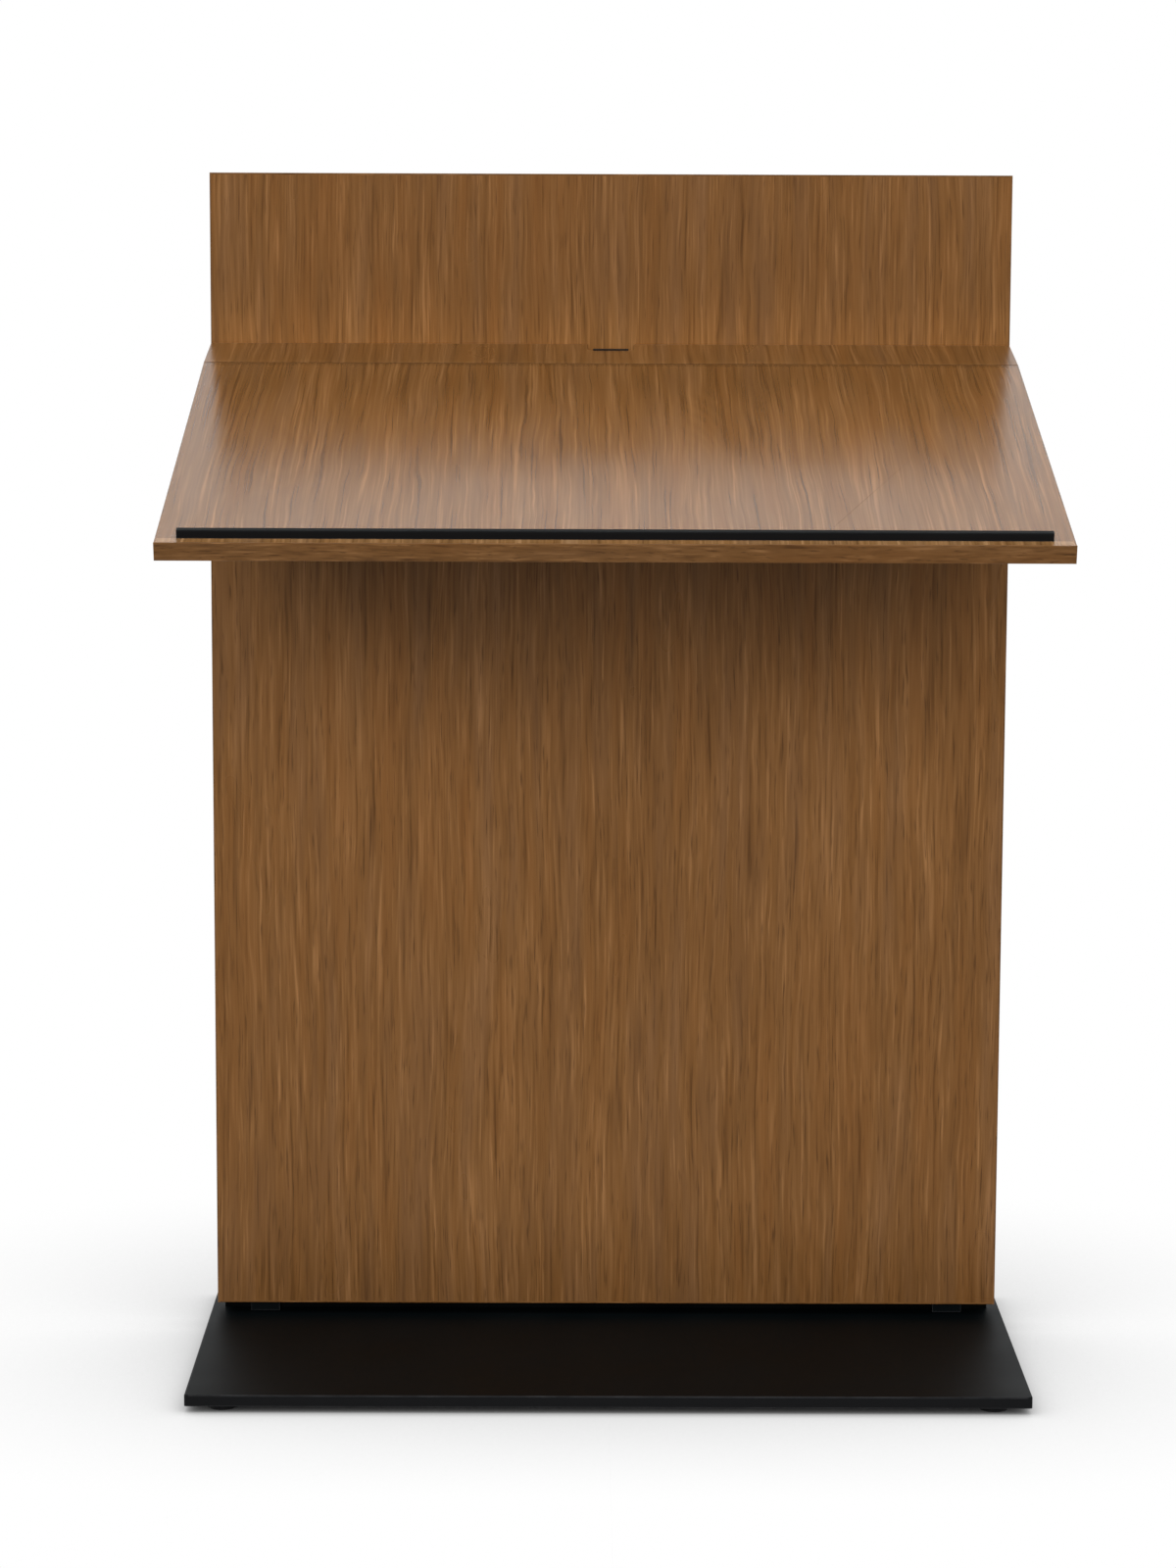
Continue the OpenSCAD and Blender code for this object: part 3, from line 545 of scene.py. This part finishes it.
def build_camera():
    forward = Vector((math.sin(CAMERA_YAW) * math.cos(CAMERA_PITCH),
                      math.cos(CAMERA_YAW) * math.cos(CAMERA_PITCH), -math.sin(CAMERA_PITCH)))
    level_right = Vector((math.cos(CAMERA_YAW), -math.sin(CAMERA_YAW), 0))
    level_down = forward.cross(level_right)
    right = math.cos(CAMERA_ROLL) * level_right + math.sin(CAMERA_ROLL) * level_down
    up = math.sin(CAMERA_ROLL) * level_right - math.cos(CAMERA_ROLL) * level_down
    data = bpy.data.cameras.new("photo_camera")
    data.sensor_fit = "VERTICAL"
    data.sensor_height = SENSOR_MM
    data.lens = FOCAL_PX * SENSOR_MM / IMAGE_H_PX
    camera = bpy.data.objects.new("photo_camera", data)
    turn = Matrix((right, up, -forward)).transposed().to_4x4()
    camera.matrix_world = Matrix.Translation(CAMERA_AT) @ turn
    bpy.context.scene.collection.objects.link(camera)
    bpy.context.scene.camera = camera


def room(graph, depth, change):
    """How white the room is for mirror rays, from a depth towards the audience."""
    return graph.remap(graph.smooth(depth, -change, change), 0, 1, ROOM_FRONT, ROOM_BACK)


def build_world():
    """White for the camera, dim for diffuse rays, and for mirror rays white beyond the lectern only."""
    world = bpy.data.worlds.new("studio")
    bpy.context.scene.world = world
    world.use_nodes = True
    world.node_tree.nodes.clear()
    graph = Graph(world.node_tree)
    path = graph.node("ShaderNodeLightPath").outputs
    heading = graph.node("ShaderNodeTexCoord").outputs["Generated"]
    mirrored = graph.times(path["Is Glossy Ray"], room(graph, graph.depth(heading), SKY_CHANGE))
    light = graph.plus(mirrored, graph.times(path["Is Diffuse Ray"], DOME_STRENGTH))
    seen = graph.math("MAXIMUM", path["Is Camera Ray"], path["Is Transmission Ray"])
    strength = graph.math("MAXIMUM", light, seen)
    white = graph.node("ShaderNodeBackground", {"Color": grey(1.0), "Strength": strength})
    graph.node("ShaderNodeOutputWorld", {"Surface": white.outputs[0]})


def build_lamps():
    for name, (elevation, bearing, strength, spread) in LAMPS.items():
        lamp = bpy.data.lights.new(name, "SUN")
        lamp.energy = strength
        lamp.angle = math.radians(spread)
        light = bpy.data.objects.new(name, lamp)
        light.rotation_euler = (math.radians(90 - elevation), 0, math.radians(bearing))
        light.visible_glossy = False
        bpy.context.scene.collection.objects.link(light)


def floor_material():
    """White to the camera with the soft shadow of what stands near, plain for the bounce."""
    material, graph, output = new_material("studio_floor")
    path = graph.node("ShaderNodeLightPath").outputs
    reach = {"Distance": FLOOR_SHADOW_REACH}
    open_sky = graph.node("ShaderNodeAmbientOcclusion", reach, samples=FLOOR_SHADOW_SAMPLES).outputs["AO"]
    open_sky = graph.math("POWER", open_sky, FLOOR_SHADOW_DEPTH)
    mirrored = graph.times(path["Is Glossy Ray"], room(graph, graph.depth(graph.place()), FLOOR_CHANGE))
    seen = graph.math("MAXIMUM", path["Is Camera Ray"], path["Is Transmission Ray"])
    shown = graph.math("ADD", seen, mirrored, clamp=True)
    white = {"Color": grey(1.0), "Strength": graph.times(shown, open_sky)}
    glow = graph.node("ShaderNodeEmission", white).outputs[0]
    matt = graph.node("ShaderNodeBsdfDiffuse", {"Color": grey(FLOOR_ALBEDO)}).outputs[0]
    both = graph.node("ShaderNodeMixShader", {0: path["Is Diffuse Ray"], 1: glow, 2: matt})
    graph.tree.links.new(both.outputs[0], output.inputs["Surface"])
    return material


def build_floor():
    """A flat square floor around the lectern."""
    mesh = bpy.data.meshes.new("studio_floor")
    shape = bmesh.new()
    bmesh.ops.create_grid(shape, x_segments=2, y_segments=2, size=FLOOR_SIZE / 2)
    shape.to_mesh(mesh)
    shape.free()
    floor = bpy.data.objects.new("studio_floor", mesh)
    bpy.context.scene.collection.objects.link(floor)
    mesh.materials.append(floor_material())


# Dressing

# Bands of painted light and shade on the boards, which the photograph shows paler or darker: from the
# board's end or the stop bar, the distance up to which a band is full and the one at which it is gone, and
# its tint
# Painted light: the tall board paler towards its foot above the ledge, where light thrown up from the ledge
# falls
TALL_FOOT = (-0.02, 0.07, (1.33, 1.31, 1.24, 1.0))
# Painted shade: the lower board darker towards its foot, next to the black plate
LOWER_FOOT = (0.0, 0.11, (0.84, 0.84, 0.87, 1.0))
# Painted highlight: a paler strip along the ledge's front edge at the seam
LEDGE_HIGHLIGHT = (0.009, 0.016, (1.12, 1.12, 1.14, 1.0))
# Painted light and sheen: the strip between the front edge and the stop bar paler, most in blue, where the
# bar casts its shadow
WORK_RIM_LIGHT = (0.0, 0.001, (1.60, 1.85, 2.30, 1.0))
# Painted shade: the worksurface darker next to the seam
WORK_SEAM_SHADE = (-0.004, -0.012, (0.80, 0.80, 0.80, 1.0))

# Looks that several pieces share
SHEEN = {"roughness": 0.20, "specular": 0.52}
LIPPING = {"shade": 0.77, "stretch": 0.3, "contrast": 1.25, "worn": True}


def dress(material, *nodes):
    """Gives these CAD nodes one material."""
    for name in nodes:
        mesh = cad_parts[name].data
        mesh.materials.clear()
        mesh.materials.append(material)


def dress_panels():
    """The two upright boards; the tall one's foot is where it meets the ledge."""
    # Painted light at the tall board's foot above the ledge
    tall_foot = painted_light_band(UP, reach_of("ledge", UP)[1], TALL_FOOT)
    # Painted shade at the lower board's foot
    lower_foot = painted_light_band(UP, reach_of("lower_panel", UP)[0], LOWER_FOOT)
    dress(walnut("walnut_tall", shift=(0.31, 0.2, 0.1), shade=0.96, painted_light_bands=[tall_foot]), "tall_panel")
    dress(walnut("walnut_lower", shift=(1.7, 0.5, 0.3), painted_light_bands=[lower_foot]), "lower_panel")


def dress_ledge(tilt):
    slope = up_the_slope(tilt)
    # Painted highlight along the ledge's front edge
    arris = painted_light_band(slope, reach_of("ledge", slope)[0], LEDGE_HIGHLIGHT)
    look = {"shade": 0.87, "stretch": 2.2, "contrast": 1.3, "pored": 0.2, "rings": 0.0}
    dress(walnut("walnut_ledge", "Y", tilt, (2.9, 0.1, 0.2), cut=True, painted_light_bands=[arris], **look), "ledge")


def dress_worksurface(tilt):
    slope = up_the_slope(tilt)
    # Painted light and sheen in front of the stop bar
    rim = painted_light_band(slope, reach_of("stop_bar", slope)[0], WORK_RIM_LIGHT)
    # Painted shade along the seam
    seam = painted_light_band(slope, reach_of("worksurface", slope)[1], WORK_SEAM_SHADE)
    look = {"shade": 0.90, "stretch": 2.0, "contrast": 1.3, "pored": 0.15, **SHEEN}
    dress(walnut("walnut_work", "Y", tilt, (4.3, 0.9, 0.8), cut=True, painted_light_bands=[rim, seam], **look),
          "worksurface")


def dress_lippings(ledge_tilt, work_tilt):
    """The solid edges, whose figure runs along each edge."""
    upright = walnut("walnut_edge_upright", "Z", shift=(0.7, 0.3, 0.6), **LIPPING)
    level = walnut("walnut_edge_level", "X", shift=(0.2, 0.4, 0.9), **LIPPING)
    on_ledge = walnut("walnut_edge_ledge", "Y", ledge_tilt, **LIPPING)
    on_work = walnut("walnut_edge_work", "Y", work_tilt, **SHEEN, **LIPPING)
    for side in ("left", "right"):
        dress(upright, "tall_lipping_" + side, "lower_lipping_" + side)
        dress(on_ledge, "ledge_lipping_" + side)
        dress(on_work, "work_lipping_" + side)
    dress(level, "tall_lipping_top", "tall_lipping_bottom", "lower_lipping_bottom", "work_lipping_front")


def dress_boards():
    ledge_tilt = slope_of("ledge")
    work_tilt = slope_of("worksurface")
    dress_panels()
    dress_ledge(ledge_tilt)
    dress_worksurface(work_tilt)
    dress_lippings(ledge_tilt, work_tilt)


def dress_column():
    """The wood inside the column and under the top."""
    batten = plain_wood("stained_batten", STAINED)
    rail = plain_wood("stained_rail", STAINED, "X")
    for side in ("left", "right"):
        dress(batten, "side_batten_" + side, "chase_batten_" + side)
        dress(rail, "bottom_rail_" + side, "top_rail_" + side)
    dress(plain_wood("beech", BEECH, "X"), "cleat")
    dress(plain_wood("beech_dowel", BEECH, "Y"), "seam_dowels")


def dress_metal():
    # Painted light on upright faces: much on the plate and stop bar, a little on the uprights and brackets
    plate = powder_coat("black_powder_coat", BLACK_COAT, 0.060, upright_light=0.9, worn=0.3)
    carriers = powder_coat("black_powder_coat_frame", BLACK_COAT, 0.060, upright_light=0.2, worn=0.3)
    dress(plate, "base_plate", "stop_bar")
    dress(carriers, "upright_left", "upright_right", "bracket_left", "bracket_right")
    # The strip closing the gap under the boards; its deeper black is painted shade
    dress(powder_coat("black_plinth_gap_shade", GAP_SHADE_BLACK, 0.05), "plinth_strip")
    names = list(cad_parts)
    fasteners = [name for name in names if name.endswith(("_screws", "_bolts")) or "stem" in name]
    pads = [name for name in names if "glide_pad" in name]
    dress(zinc_plate("bright_zinc"), *fasteners)
    dress(moulded_nylon("black_nylon"), "slot_edge_strip", *pads)


def main():
    bpy.context.scene.view_settings.view_transform = "Standard"
    build_camera()
    build_world()
    build_lamps()
    build_floor()
    dress_boards()
    dress_column()
    dress_metal()


main()
